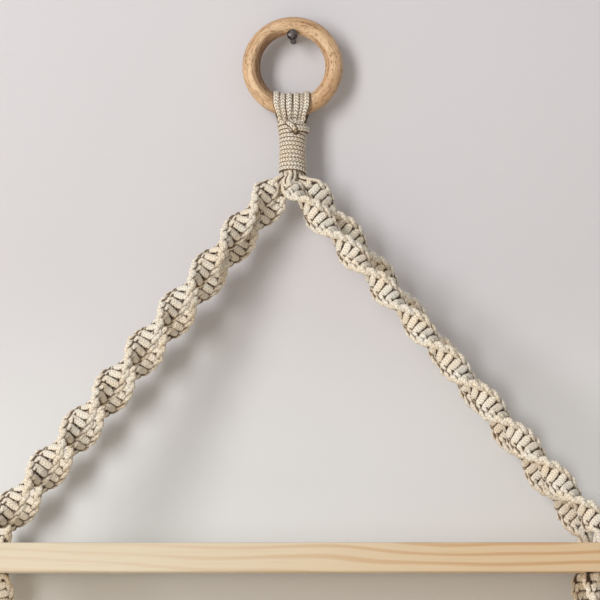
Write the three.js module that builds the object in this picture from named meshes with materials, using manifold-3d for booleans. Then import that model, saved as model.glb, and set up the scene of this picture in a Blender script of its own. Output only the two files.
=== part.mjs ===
// A shelf that hangs from one nail. Cotton cords are folded over a wooden ring and gathered by a wrapping,
// then part into four half-knot spiral ropes that pass through the corners of a pine board. Below the board
// each rope goes on for a few knots, and ends in a small wrapping and a tassel of four cut strands.
// Millimetres. The origin is where the nail's axis meets the wall: +X right, +Y into the wall, +Z up.
import * as THREE from "three";
import { mergeVertices } from "three/addons/utils/BufferGeometryUtils.js";
import Module from "manifold-3d";

const wasm = await Module();
wasm.setup();

const seat = 0.3; // gap left between two pieces that touch

// Nail
const nailShank = 4;
const nailHead = 7;
const nailHeadHeight = 1.8;
const nailOut = 25; // from the wall to the head's face
const nailIn = 28; // what is in the wall
const nailPoint = 6;

// Ring
const ringOuter = 70;
const ringStock = 12;
const ringStandOff = 16; // from the wall to the ring's middle plane

// Cords over the ring
const loopCount = 8;
const loopCord = 3; // squeezed between its neighbours
const loopPitch = 3.5;
const legCord = 2.3; // and more so where the wrapping takes it in
const legPitch = 2.65;
const legBack = 4.8; // from the wrapping's axis to its front and rear rows of legs
const legStraight = 1.6;
const tipAngle = 18; // how far the shelf tips forward on the ring, in degrees

// Wrapping that gathers the cords
const gatherDrop = 15.4; // from the middle of the ring's stock to the wrapping's top
const gatherLength = 34.8;
const gatherTopWidth = 22;
const gatherWaistWidth = 18.8;
const gatherBottomWidth = 20.6;
const gatherCord = 3.4;
const gatherPitch = 3.9;

// Spiral ropes
const ropeWidth = 17;
const ropeThickness = 9.6;
const knotPitch = 5.85;
const knotsPerTurn = 12; // half knots in one whole turn of the spiral
const knotGroove = 1.1; // how deep the crevice between two half knots is
const bundleWidth = 5.6; // four strands where they leave the wrapping
const bundleSpread = 4.9; // from the wrapping's axis to the middle of each bundle
const bundleStraight = 1.2;
const sideReach = 13.2; // how far out the left and right bundles start their knots
const sideDrop = 5.6;
const frontDrop = 5.4;
const rearDrop = 11.8;
const rearReach = 3; // how far left the rear left rope starts its knots
const ropeGrow = 16; // length over which a bundle grows to the full rope
const ropeBend = 5; // length of each leg of the bend where knots start

// Board
const boardLength = 440;
const boardDepth = 150;
const boardThickness = 19;
const boardDrop = 355; // from the nail's axis to the board's top
const boardGap = 3; // from the wall to the board's rear edge
const boardCorner = 3;
const boardEase = 1.2;
const holeWidth = 12.8;
const holeFillShare = 0.78; // the four strands drawn through a hole
const holeInsetX = 20;
const holeInsetY = 20;
const holeBend = 7; // height above the board at which a rope turns down into its hole

// Rope ends below the board
const tailLength = 54;
const tailNeckWidth = 6.6;
const tailCord = 2.9;
const tailPitch = 3.35;
const tailTurns = 4;
const tasselLength = 62;
const tasselKnob = 9.4;
const tasselCord = 4.2;
const tasselFlare = 2.2; // how far the cut ends stand outside the knob's strands

const cotton = { color: 0xe9dfca, roughness: 0.95, metalness: 0 };
const beech = { color: 0xcda67c, roughness: 0.55, metalness: 0 };
const pine = { color: 0xdfc49c, roughness: 0.6, metalness: 0 };
const steel = { color: 0x55524f, roughness: 0.35, metalness: 1 };

const shelf = new THREE.Group();

function addPiece(name, geometry, finish) {
  const piece = new THREE.Mesh(geometry, new THREE.MeshStandardMaterial(finish));
  piece.name = name;
  shelf.add(piece);
  return piece;
}

// A closed skin over rings of points, with a fan over each end.
function loft(rings) {
  const sides = rings[0].length;
  const corners = rings.flat().concat([rings[0], rings[rings.length - 1]].map(middleOf));
  const faces = [];
  for (let k = 0; k + 1 < rings.length; k++) {
    for (let j = 0; j < sides; j++) {
      const next = (j + 1) % sides;
      const a = k * sides + j;
      const b = k * sides + next;
      faces.push(a, b, b + sides, a, b + sides, a + sides);
    }
  }
  const last = (rings.length - 1) * sides;
  const start = rings.length * sides;
  for (let j = 0; j < sides; j++) {
    const next = (j + 1) % sides;
    faces.push(start, next, j);
    faces.push(start + 1, last + j, last + next);
  }
  const skin = new THREE.BufferGeometry().setFromPoints(corners);
  skin.setIndex(faces);
  return skin;
}

function middleOf(points) {
  const sum = points.reduce((total, p) => total.add(p), new THREE.Vector3());
  return sum.divideScalar(points.length);
}

// The direction of a line of points at each of them.
function headings(points) {
  return points.map((p, k) => {
    const before = points[Math.max(k - 1, 0)];
    const after = points[Math.min(k + 1, points.length - 1)];
    return after.clone().sub(before).normalize();
  });
}

// A tube along a line of points, with a radius for each. The section never turns about the line; deepShare is
// its depth for a width of one.
function tube(points, radii, sides, deepShare = 1) {
  const along = headings(points);
  let across = new THREE.Vector3(1, 0, 0);
  if (Math.abs(along[0].x) > Math.SQRT1_2) across = new THREE.Vector3(0, 1, 0);
  const rings = points.map((p, k) => {
    across = across.clone().addScaledVector(along[k], -across.dot(along[k])).normalize();
    const other = along[k].clone().cross(across);
    return Array.from({ length: sides }, (_, j) => {
      const angle = (2 * Math.PI * j) / sides;
      return p
        .clone()
        .addScaledVector(across, radii[k] * Math.cos(angle))
        .addScaledVector(other, deepShare * radii[k] * Math.sin(angle));
    });
  });
  return loft(rings);
}

function solidOf(geometry) {
  const plain = geometry.clone();
  plain.deleteAttribute("normal");
  plain.deleteAttribute("uv");
  const merged = mergeVertices(plain);
  return new wasm.Manifold(
    new wasm.Mesh({
      numProp: 3,
      vertProperties: merged.attributes.position.array,
      triVerts: new Uint32Array(merged.index.array),
    }),
  );
}

function geometryOf(solid) {
  const made = solid.getMesh();
  const geometry = new THREE.BufferGeometry();
  geometry.setAttribute("position", new THREE.BufferAttribute(made.vertProperties, 3));
  geometry.setIndex(new THREE.BufferAttribute(made.triVerts, 1));
  return geometry;
}

const ease = (t) => THREE.MathUtils.smoothstep(t, 0, 1);

// Nail: a domed head, a round shank and a point.
const nailHeadBack = nailHeadHeight - nailOut;
const nailDomeShares = [
  [0.98, 0.3],
  [0.8, 0.72],
  [0.45, 0.95],
];
const nailProfile = [
  new THREE.Vector2(0, -nailOut),
  ...nailDomeShares.toReversed().map(
    ([out, up]) => new THREE.Vector2((out * nailHead) / 2, nailHeadBack - up * nailHeadHeight),
  ),
  new THREE.Vector2(nailHead / 2, nailHeadBack),
  new THREE.Vector2(nailShank / 2, nailHeadBack),
  new THREE.Vector2(nailShank / 2, nailIn - nailPoint),
  new THREE.Vector2(0, nailIn),
];
addPiece("wall_nail", new THREE.LatheGeometry(nailProfile, 16), steel);

// Ring: it hangs on top of the nail's shank.
const ringRadius = (ringOuter - ringStock) / 2;
const ringCentre = new THREE.Vector3(0, -ringStandOff, nailShank / 2 + seat - ringOuter / 2 + ringStock);
const ring = addPiece("hanging_ring", new THREE.TorusGeometry(ringRadius, ringStock / 2, 12, 40), beech);
ring.rotation.x = Math.PI / 2;
ring.position.copy(ringCentre);

// The gathered cords run from the lowest point of the ring's stock towards the middle of the board.
const boardCentre = new THREE.Vector3(0, -boardGap - boardDepth / 2, -boardDrop - boardThickness / 2);
const stockBottom = ringCentre.clone().setZ(ringCentre.z - ringRadius);
const gatherDown = boardCentre.clone().sub(stockBottom).normalize();
const gatherBack = new THREE.Vector3(1, 0, 0).cross(gatherDown);

// A point by the wrapping's axis: to the right, towards the wall and down from the ring's stock.
function byAxis(right, back, down) {
  return stockBottom
    .clone()
    .addScaledVector(new THREE.Vector3(1, 0, 0), right)
    .addScaledVector(gatherBack, back)
    .addScaledVector(gatherDown, down);
}

// Cords folded over the ring, side by side. The clearance grows where the ring curves up, so that the cords
// can turn with the shelf as it tips.
const arcSteps = 14;
const cordDeepShare = 1.4;
const legEnd = gatherDrop - seat;

// How far the ring's stock has curved up at a distance from the middle.
const stockRise = (x) => ringRadius - Math.sqrt(ringRadius ** 2 - x ** 2);

function loopPath(place) {
  const x = place * loopPitch;
  const swept = stockRise(x) * Math.sin(THREE.MathUtils.degToRad(tipAngle));
  const clearance = seat + swept + stockRise(Math.abs(x) + loopCord / 2) - stockRise(x);
  const radius = (ringStock + cordDeepShare * loopCord) / 2 + clearance;
  const legX = place * legPitch;
  const legs = [-1, 1].map((side) => {
    const bend = byAxis(legX, side * legBack, legEnd - legStraight);
    const reach = bend.clone().sub(stockBottom).setX(0);
    return {
      end: byAxis(legX, side * legBack, legEnd),
      reach: reach.length(),
      turn: side * reach.angleTo(new THREE.Vector3(0, 0, 1)),
    };
  });
  const points = [];
  const radii = [];
  for (let k = 0; k <= arcSteps; k++) {
    // From the front leg over the top to the rear leg: turn is 0 at the top.
    const turn = THREE.MathUtils.lerp(legs[0].turn, legs[1].turn, k / arcSteps);
    const leg = turn < 0 ? legs[0] : legs[1];
    const share = ease((Math.abs(turn) - Math.PI / 2) / (Math.abs(leg.turn) - Math.PI / 2));
    const out = THREE.MathUtils.lerp(radius, leg.reach, share);
    const shift = THREE.MathUtils.lerp(x, legX, share);
    const rise = stockRise(x) * (1 - share) + out * Math.cos(turn);
    points.push(stockBottom.clone().add(new THREE.Vector3(shift, out * Math.sin(turn), rise)));
    radii.push(THREE.MathUtils.lerp(loopCord, legCord, share) / 2);
  }
  return {
    points: [legs[0].end, ...points, legs[1].end],
    radii: [legCord / 2, ...radii, legCord / 2],
  };
}

for (let i = 0; i < loopCount; i++) {
  const { points, radii } = loopPath(i - (loopCount - 1) / 2);
  addPiece(`cord_loop_${i + 1}`, tube(points, radii, 8, cordDeepShare), cotton);
}

// Wrapping: widest at its top, drawn in at the waist and a little wider again where the ropes part.
function gatherWidth(share) {
  const edge = share < 1 / 2 ? gatherTopWidth : gatherBottomWidth;
  return THREE.MathUtils.lerp(gatherWaistWidth, edge, (2 * share - 1) ** 2);
}

const coreSteps = 8;
const coreProfile = [new THREE.Vector2(0, 0)];
for (let k = 0; k <= coreSteps; k++) {
  const share = k / coreSteps;
  const width = gatherWidth(share) - 2 * (gatherCord + seat);
  coreProfile.push(new THREE.Vector2(width / 2, -share * gatherLength));
}
coreProfile.push(new THREE.Vector2(0, -gatherLength));
const core = addPiece("gathered_cords", new THREE.LatheGeometry(coreProfile.toReversed(), 20), cotton);
core.quaternion.setFromUnitVectors(new THREE.Vector3(0, -1, 0), gatherDown);
core.position.copy(byAxis(0, 0, gatherDrop));

// A wrapping's cord is one tube that winds down its axis.
function winding(turns, steps, pitch, cord, placeAt) {
  const count = Math.round(turns * steps);
  return Array.from({ length: count + 1 }, (_, k) => {
    const angle = (2 * Math.PI * k) / steps;
    return placeAt(angle, cord / 2 + (k / steps) * pitch);
  });
}

// The least room between two turns of one winding, measured on its points.
function leastGap(points, steps, cord) {
  let least = Infinity;
  points.forEach((p, k) => {
    for (let m = k + Math.round(steps / 2); m < points.length; m++) {
      least = Math.min(least, p.distanceTo(points[m]) - cord);
    }
  });
  return least;
}

const gatherSteps = 20;
const gatherTurns = (gatherLength - gatherCord) / gatherPitch;
const gatherPoints = winding(gatherTurns, gatherSteps, gatherPitch, gatherCord, (angle, down) => {
  const radius = (gatherWidth(down / gatherLength) - gatherCord) / 2;
  return byAxis(radius * Math.cos(angle), radius * Math.sin(angle), gatherDrop + down);
});
const gatherRadii = gatherPoints.map(() => gatherCord / 2);
addPiece("gathering_wrap", tube(gatherPoints, gatherRadii, 6), cotton);
console.log("gathering_wrap least gap", leastGap(gatherPoints, gatherSteps, gatherCord).toFixed(2), "mm");

// The four corners. The bundles leave the wrapping to the left, to the front, to the rear and to the right,
// so the front pair of ropes starts left of the rear pair. A lobe share of 0 shows the rope's flat side to
// the front where its knots start, and one of 1 is half a turn on.
const holeX = boardLength / 2 - holeInsetX;
const holeFront = -boardGap - boardDepth + holeInsetY;
const holeRear = -boardGap - holeInsetY;
const boardBottom = -boardDrop - boardThickness;
const gatherEnd = gatherDrop + gatherLength;
const corners = [
  {
    name: "front_left",
    hole: new THREE.Vector2(-holeX, holeFront),
    exit: [-bundleSpread, 0],
    start: [-sideReach, 0, sideDrop],
    lobeShare: 0.85,
  },
  {
    name: "front_right",
    hole: new THREE.Vector2(holeX, holeFront),
    exit: [0, -bundleSpread],
    start: [0, -bundleSpread, frontDrop],
    lobeShare: 0.04,
  },
  {
    name: "rear_left",
    hole: new THREE.Vector2(-holeX, holeRear),
    exit: [0, bundleSpread],
    start: [-rearReach, bundleSpread, rearDrop],
    lobeShare: 0.87,
  },
  {
    name: "rear_right",
    hole: new THREE.Vector2(holeX, holeRear),
    exit: [bundleSpread, 0],
    start: [sideReach, 0, sideDrop],
    lobeShare: 0.79,
  },
];

// A line through corner points, with a bend at each inner one that takes at most half of a leg.
function bentLine(points, bend) {
  const line = new THREE.CurvePath();
  const bendLeg = (corner, to) => {
    const leg = to.clone().sub(corner);
    return corner.clone().add(leg.setLength(Math.min(bend, leg.length() / 2)));
  };
  let from = points[0];
  for (let k = 1; k + 1 < points.length; k++) {
    const before = bendLeg(points[k], points[k - 1]);
    const after = bendLeg(points[k], points[k + 1]);
    line.add(new THREE.LineCurve3(from, before));
    line.add(new THREE.QuadraticBezierCurve3(before, points[k], after));
    from = after;
  }
  line.add(new THREE.LineCurve3(from, points[points.length - 1]));
  return line;
}

// The section of a half knot: a bar over each face and a loop round each edge.
const knotShares = [
  [1, 0],
  [0.6, 0.98],
  [-0.6, 0.98],
  [-1, 0],
  [-0.6, -0.98],
  [0.6, -0.98],
];

const knotCornerShare = Math.hypot(...knotShares[1]); // how far out its corners are

// A row of half knots along a line, turning left-handed. size gives the width and thickness at a distance.
function knotted(line, lobeShare, firstKnot, size) {
  const length = line.getLength();
  const halves = Math.round((2 * length) / knotPitch);
  const rings = [];
  for (let k = 0; k <= halves; k++) {
    const share = k / halves;
    const at = share * length;
    const middle = line.getPointAt(share);
    const along = line.getTangentAt(share);
    const depth = new THREE.Vector3(0, 1, 0).addScaledVector(along, -along.y).normalize();
    const flat = along.clone().cross(depth);
    const turn = 2 * Math.PI * ((at - firstKnot) / (knotPitch * knotsPerTurn) + lobeShare / 2);
    const wide = flat.clone().multiplyScalar(Math.cos(turn)).addScaledVector(depth, Math.sin(turn));
    const thick = along.clone().cross(wide);
    const [width, thickness, groove] = size(at, length);
    const cut = k % 2 === 0 ? groove : 0;
    rings.push(
      knotShares.map(([u, v]) =>
        middle
          .clone()
          .addScaledVector(wide, u * (width / 2 - cut))
          .addScaledVector(thick, v * (thickness / 2 - cut)),
      ),
    );
  }
  return loft(rings);
}

const strandsWidth = holeFillShare * holeWidth;
for (const corner of corners) {
  const top = byAxis(...corner.exit, gatherEnd + seat);
  const leave = byAxis(...corner.exit, gatherEnd + seat + bundleStraight);
  const start = byAxis(corner.start[0], corner.start[1], gatherEnd + corner.start[2]);
  const over = new THREE.Vector3(corner.hole.x, corner.hole.y, -boardDrop + holeBend);
  const under = new THREE.Vector3(corner.hole.x, corner.hole.y, boardBottom);
  const line = bentLine([top, leave, start, over, under], ropeBend);
  const inHole = boardThickness + holeBend;
  const firstKnot = bundleStraight + leave.distanceTo(start);
  const rope = knotted(line, corner.lobeShare, firstKnot, (at, length) => {
    const grown = ease((at - firstKnot) / ropeGrow);
    const left = ease((length - at - inHole) / ropeGrow);
    const width = THREE.MathUtils.lerp(bundleWidth, ropeWidth, grown);
    const thickness = THREE.MathUtils.lerp(bundleWidth, ropeThickness, grown);
    return [
      THREE.MathUtils.lerp(strandsWidth, width, left),
      THREE.MathUtils.lerp(strandsWidth, thickness, left),
      knotGroove * grown * left,
    ];
  });
  addPiece(`spiral_rope_${corner.name}`, rope, cotton);
}

// Board: eased edges and rounded corners, with an eased hole for each rope.
const outline = new THREE.Shape();
const straightX = boardLength / 2 - boardCorner;
const straightY = boardDepth / 2 - boardCorner;
[
  [straightX, straightY, 0],
  [-straightX, straightY, Math.PI / 2],
  [-straightX, -straightY, Math.PI],
  [straightX, -straightY, (3 * Math.PI) / 2],
].forEach(([x, y, from]) => outline.absarc(x, y, boardCorner, from, from + Math.PI / 2, false));
outline.closePath();
for (const corner of corners) {
  const hole = new THREE.Path();
  hole.absarc(corner.hole.x, corner.hole.y - boardCentre.y, holeWidth / 2, 0, 2 * Math.PI, true);
  outline.holes.push(hole);
}
const boardShape = new THREE.ExtrudeGeometry(outline, {
  depth: boardThickness - 2 * boardEase,
  bevelThickness: boardEase,
  bevelSize: boardEase,
  bevelOffset: -boardEase,
  bevelSegments: 2,
  curveSegments: 6,
});
const board = addPiece("shelf_board", boardShape, pine);
board.position.set(0, boardCentre.y, boardBottom + boardEase);

// Rope ends: the first half knot below the board is wider than the hole, and carries the board.
const tailTop = boardBottom - seat;
const tailWrapLength = tailTurns * tailPitch + tailCord;
const tailEnd = tailTop - tailLength - tailWrapLength;
const tailSteps = 14;
const strandAngles = [1 / 8, 3 / 8, 5 / 8, 7 / 8].map((share) => 2 * Math.PI * share);
const strandLengthShares = [1, 0.96, 1, 0.96];
for (const corner of corners) {
  const hang = (z) => new THREE.Vector3(corner.hole.x, corner.hole.y, z);
  const line = bentLine([hang(tailTop), hang(tailEnd)], 0);
  const tail = knotted(line, corner.lobeShare, 0, (at) => {
    const left = ease((tailLength - at) / ropeThickness);
    return [
      THREE.MathUtils.lerp(tailNeckWidth, ropeWidth, left),
      THREE.MathUtils.lerp(tailNeckWidth, ropeThickness, left),
      knotGroove * left,
    ];
  });
  addPiece(`rope_tail_${corner.name}`, tail, cotton);

  const wrapRadius = (knotCornerShare * tailNeckWidth + tailCord) / 2 + seat;
  const wrapPoints = winding(tailTurns, tailSteps, tailPitch, tailCord, (angle, down) =>
    hang(tailTop - tailLength - down).add(
      new THREE.Vector3(wrapRadius * Math.cos(angle), wrapRadius * Math.sin(angle), 0),
    ),
  );
  const wrapRadii = wrapPoints.map(() => tailCord / 2);
  addPiece(`tail_wrap_${corner.name}`, tube(wrapPoints, wrapRadii, 5), cotton);
  if (corner === corners[0]) {
    console.log("tail_wrap least gap", leastGap(wrapPoints, tailSteps, tailCord).toFixed(2), "mm");
  }

  const pivot = hang(tailEnd - seat - tasselKnob / 2);
  const knob = new THREE.SphereGeometry(tasselKnob / 2, 12, 8);
  knob.rotateX(Math.PI / 2);
  knob.translate(...pivot.toArray());
  let tassel = solidOf(knob);
  strandAngles.forEach((angle, j) => {
    const away = new THREE.Vector3(Math.cos(angle), Math.sin(angle), 0);
    const near = (tasselKnob - tasselCord) / 2;
    const drop = tasselLength * strandLengthShares[j] - tasselKnob;
    const strand = [0, 1 / 4, 1 / 2, 3 / 4, 1].map((share) =>
      pivot
        .clone()
        .addScaledVector(away, near + tasselFlare * ease(share))
        .add(new THREE.Vector3(0, 0, -drop * share)),
    );
    const radii = strand.map(() => tasselCord / 2);
    tassel = tassel.add(solidOf(tube(strand, radii, 8)));
  });
  addPiece(`tassel_${corner.name}`, geometryOf(tassel), cotton);
}

export default shelf;
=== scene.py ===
import math
import random

import bpy
import numpy as np
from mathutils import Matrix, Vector


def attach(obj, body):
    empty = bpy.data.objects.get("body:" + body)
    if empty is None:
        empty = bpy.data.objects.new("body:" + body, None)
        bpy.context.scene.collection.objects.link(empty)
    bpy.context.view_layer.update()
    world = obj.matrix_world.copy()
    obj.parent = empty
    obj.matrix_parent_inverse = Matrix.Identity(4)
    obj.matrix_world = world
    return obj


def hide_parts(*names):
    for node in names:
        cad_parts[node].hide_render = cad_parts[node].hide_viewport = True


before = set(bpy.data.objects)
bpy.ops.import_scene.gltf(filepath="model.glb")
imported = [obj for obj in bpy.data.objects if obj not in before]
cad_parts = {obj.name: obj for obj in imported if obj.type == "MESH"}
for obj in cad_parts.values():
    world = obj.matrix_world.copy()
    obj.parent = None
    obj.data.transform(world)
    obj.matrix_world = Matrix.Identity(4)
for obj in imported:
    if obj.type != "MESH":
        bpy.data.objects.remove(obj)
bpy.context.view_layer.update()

print("frame loaded")

mm = 0.001
fullTurn = 2 * math.pi
hair = 0.01  # a hair's breadth, in millimetres

# Measures that several pieces share, in millimetres, as in the fixed model.
shelf = {
    "ringCentre": (0, -16, -20.7),
    "ringRadius": 29,  # to the middle of the stock
    "ringStock": 12.6,
    "boardTop": -355,
    "boardThickness": 19,
    "boardMiddle": -78,  # between its front and rear edges
    "gatherDrop": 15.4,  # from the middle of the ring's stock to the wrapping
    "gatherLength": 34.8,
    "knotsPerTurn": 12,
}

boardBottom = shelf["boardTop"] - shelf["boardThickness"]
boardCentre = (0, shelf["boardMiddle"], (shelf["boardTop"] + boardBottom) / 2)
gatherEnd = shelf["gatherDrop"] + shelf["gatherLength"]

# The wrapping's axis runs from the foot of the ring's middle line towards the board's middle.
ringFoot = np.add(shelf["ringCentre"], (0, 0, -shelf["ringRadius"]))
down = np.subtract(boardCentre, ringFoot)
down = down / np.linalg.norm(down)
back = np.cross((1, 0, 0), down)


def byAxis(right, towardsWall, below):
    return ringFoot + np.array((1, 0, 0)) * right + back * towardsWall + down * below


def bothWays(operation):  # an operator and its reflected form
    return (lambda self, other: self.maths(operation, self, other),
            lambda self, other: self.maths(operation, other, self))


class Signal:  # an output socket, so that sums on it read as sums
    def __init__(self, nodes, socket):
        self.nodes = nodes
        self.socket = socket

    def maths(self, operation, *values):
        return self.nodes.add("ShaderNodeMath", {"operation": operation}, dict(enumerate(values)))

    __add__, __radd__ = bothWays("ADD")
    __sub__, __rsub__ = bothWays("SUBTRACT")
    __mul__, __rmul__ = bothWays("MULTIPLY")
    __truediv__, __rtruediv__ = bothWays("DIVIDE")
    __pow__, __rpow__ = bothWays("POWER")

    def cosine(self):
        return self.maths("COSINE", self)

    def sine(self):
        return self.maths("SINE", self)

    def angleOver(self, other):
        return self.maths("ARCTAN2", self, other)

    def folded(self, size):  # up to size and down to 0 again
        return self.maths("PINGPONG", self, size)

    def between(self, low, high):  # 0 at low, 1 at high, smooth in between
        return self.nodes.add("ShaderNodeMapRange", {"interpolation_type": "SMOOTHSTEP"},
                              {"Value": self, "From Min": low, "From Max": high})


class NodeTree:
    def __init__(self, tree):
        self.tree = tree

    def node(self, kind, settings=None, sockets=None):
        made = self.tree.nodes.new(kind)
        for name, value in (settings or {}).items():
            setattr(made, name, value)
        self.feed(made, sockets or {})
        return made

    def add(self, kind, settings=None, sockets=None, output=0):
        return Signal(self, self.node(kind, settings, sockets).outputs[output])

    def feed(self, node, sockets):
        for name, value in sockets.items():
            if isinstance(value, Signal):
                self.tree.links.new(value.socket, node.inputs[name])
            else:
                node.inputs[name].default_value = value

    def vector(self, operation, *values, output="Vector"):
        return self.add("ShaderNodeVectorMath", {"operation": operation},
                        dict(enumerate(values)), output)

    def scaled(self, vector, factor):
        return self.add("ShaderNodeVectorMath", {"operation": "SCALE"}, {0: vector, "Scale": factor})

    def parts(self, vector):
        made = self.node("ShaderNodeSeparateXYZ", None, {"Vector": vector})
        return [Signal(self, made.outputs[axis]) for axis in "XYZ"]

    def joined(self, x, y, z):
        return self.add("ShaderNodeCombineXYZ", None, {"X": x, "Y": y, "Z": z})

    def place(self):
        return self.add("ShaderNodeTexCoord", output="Object")

    def stretched(self, size):
        return self.add("ShaderNodeMapping", None, {"Vector": self.place(), "Scale": size})

    def noise(self, vector, scale, detail=2, roughness=0.5):
        return self.add("ShaderNodeTexNoise", None, {
            "Vector": vector, "Scale": scale, "Detail": detail, "Roughness": roughness})

    def bump(self, height, strength, distance):
        return self.add("ShaderNodeBump", None, {
            "Height": height, "Strength": strength, "Distance": distance})

    def mixColour(self, factor, first, second):
        return self.add("ShaderNodeMix", {"data_type": "RGBA"}, {0: factor, 6: first, 7: second}, 2)

    def layered(self, tone, *layers):  # each layer is how much of it shows, and its tone
        colour = shade(*tone)
        for share, added in layers:
            colour = self.mixColour(share, colour, shade(*added))
        return colour


def shade(red, green, blue):  # a colour as it shows on screen, 0 to 255, to linear light
    def linear(value):
        share = value / 255
        return share / 12.92 if share <= 0.04045 else ((share + 0.055) / 1.055) ** 2.4
    return (linear(red), linear(green), linear(blue), 1)


def newMaterial(name):
    material = bpy.data.materials.new(name)
    material.use_nodes = True
    nodes = NodeTree(material.node_tree)
    nodes.shader = material.node_tree.nodes["Principled BSDF"]
    return material, nodes


def linked(name, data):
    made = bpy.data.objects.new(name, data)
    bpy.context.scene.collection.objects.link(made)
    return made


def meshObject(name, points, faces, material):
    mesh = bpy.data.meshes.new(name)
    mesh.from_pydata(points, [], faces)
    mesh.materials.append(material)
    return linked(name, mesh)


view = {
    "place": (0.055, -2.116, -0.3873),
    "turnedLeft": 1.361,  # degrees
    "tiltedUp": 5.506,
    "focalLength": 182.2,
    "sensor": 36,
    "farthest": 20,
}


def placeCamera():
    camera = bpy.data.cameras.new("camera")
    camera.lens = view["focalLength"]
    camera.sensor_width = view["sensor"]
    camera.clip_end = view["farthest"]
    eye = linked("camera", camera)
    eye.location = view["place"]
    eye.rotation_euler = (math.radians(90 + view["tiltedUp"]), 0, math.radians(view["turnedLeft"]))
    bpy.context.scene.camera = eye
    bpy.context.scene.view_settings.view_transform = "Standard"


placeCamera()
print("camera placed")

# Every cord is a line of points, swept by one Geometry Nodes tree that presses it and raises its plait.
cord = {
    "segment": 0.64,  # length of a step along a cord
    "sides": 16,
    "plaitLength": 2.1,
    "plaitColumns": 4,
    "stitchLean": 0.75,
    "plaitDepth": 0.07,
    "widen": 0.55,  # how much of a cord's flattening goes into its width
}


def plaitOf(column, row):  # how high a stitch stands, and 0 at the seams between the columns
    slope = column.folded(0.5) * (2 * cord["stitchLean"])
    ridge = 0.5 - (column * (2 * fullTurn)).cosine() * 0.5
    return ((row + slope) * fullTurn).cosine(), ridge


def cordTree():
    tree = bpy.data.node_groups.new("plaited cord", "GeometryNodeTree")
    tree.is_modifier = True
    inputs = {"Geometry": "Geometry", "Segment": "Float", "Sides": "Int", "Plait Length": "Float",
              "Plait Columns": "Float", "Plait Depth": "Float", "Widen": "Float",
              "Material": "Material"}
    for name, kind in inputs.items():
        tree.interface.new_socket(name, in_out="INPUT", socket_type=f"NodeSocket{kind}")
    tree.interface.new_socket("Geometry", in_out="OUTPUT", socket_type="NodeSocketGeometry")
    nodes = NodeTree(tree)
    entry = nodes.node("NodeGroupInput")
    given = {name: Signal(nodes, entry.outputs[name]) for name in inputs}

    def make(kind, sockets=None, settings=None, output=0):
        return nodes.add(f"GeometryNode{kind}", settings, sockets, output)

    def capture(geometry, **fields):
        made = nodes.node("GeometryNodeCaptureAttribute")
        for name, (kind, field) in fields.items():
            made.capture_items.new(kind, name)
            nodes.feed(made, {name: field})
        nodes.feed(made, {"Geometry": geometry})
        return [Signal(nodes, made.outputs[k]) for k in range(len(fields) + 1)]

    def stored(name, kind):
        return make("InputNamedAttribute", {"Name": name}, {"data_type": kind})

    def store(geometry, name, kind, value):
        return make("StoreNamedAttribute", {"Geometry": geometry, "Name": name, "Value": value},
                    {"data_type": kind, "domain": "POINT"})

    lines = make("MeshToCurve", {"Mesh": given["Geometry"]})
    lines = make("ResampleCurve", {"Curve": lines, "Length": given["Segment"]}, {"mode": "LENGTH"})
    place = make("InputPosition")
    travelled = make("SplineParameter", output="Length")
    lines, centre, along, facing, squeeze, thickness = capture(
        lines, centre=("VECTOR", place), along=("FLOAT", travelled),
        facing=("VECTOR", stored("facing", "FLOAT_VECTOR")),
        squeeze=("FLOAT", stored("squeeze", "FLOAT")),
        thickness=("FLOAT", stored("thickness", "FLOAT")))
    section = make("CurvePrimitiveCircle", {"Resolution": given["Sides"], "Radius": 1.0})
    section, around = capture(section, around=("FLOAT", make("SplineParameter")))
    skin = make("CurveToMesh", {"Curve": lines, "Profile Curve": section,
                                "Scale": thickness * 0.5, "Fill Caps": True})
    relief, ridge = plaitOf(around * given["Plait Columns"], along / given["Plait Length"])
    out = nodes.vector("SUBTRACT", place, centre)
    flat = nodes.vector("NORMALIZE", facing)
    faced = nodes.vector("DOT_PRODUCT", out, flat, output="Value")
    pressed = nodes.scaled(flat, faced * squeeze * (1 + given["Widen"]))
    widened = nodes.scaled(out, 1 + squeeze * given["Widen"])
    shaped = nodes.scaled(nodes.vector("SUBTRACT", widened, pressed),
                          1 + relief * ridge * given["Plait Depth"])
    # A long facing gives a strand wide painted shade creases at its sides, and one that faces nowhere has
    # none.
    rise = nodes.vector("DOT_PRODUCT", nodes.vector("NORMALIZE", out), facing, output="Value")
    rise = rise + (1 - nodes.vector("LENGTH", facing, output="Value"))
    skin, lift = capture(skin, lift=("FLOAT", rise))
    angle = around * fullTurn
    plait = nodes.joined(angle.cosine(), angle.sine(), along * (1 / mm))
    skin = make("SetPosition", {"Geometry": skin, "Position": nodes.vector("ADD", centre, shaped)})
    skin = store(skin, "plait", "FLOAT_VECTOR", plait)
    skin = store(skin, "lift", "FLOAT", lift)
    skin = make("RealizeInstances", {"Geometry": skin})
    skin = make("SetMaterial", {"Geometry": skin, "Material": given["Material"]})
    nodes.node("NodeGroupOutput", None, {"Geometry": skin})
    return tree


cordNodes = cordTree()


def strand(points, thickness, facing=(0, 0, 0), squeeze=0):
    points = np.array(points, float)
    count = len(points)
    return {"points": points, "facing": np.zeros((count, 3)) + facing,
            "thickness": np.zeros(count) + thickness, "squeeze": np.zeros(count) + squeeze}


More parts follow.
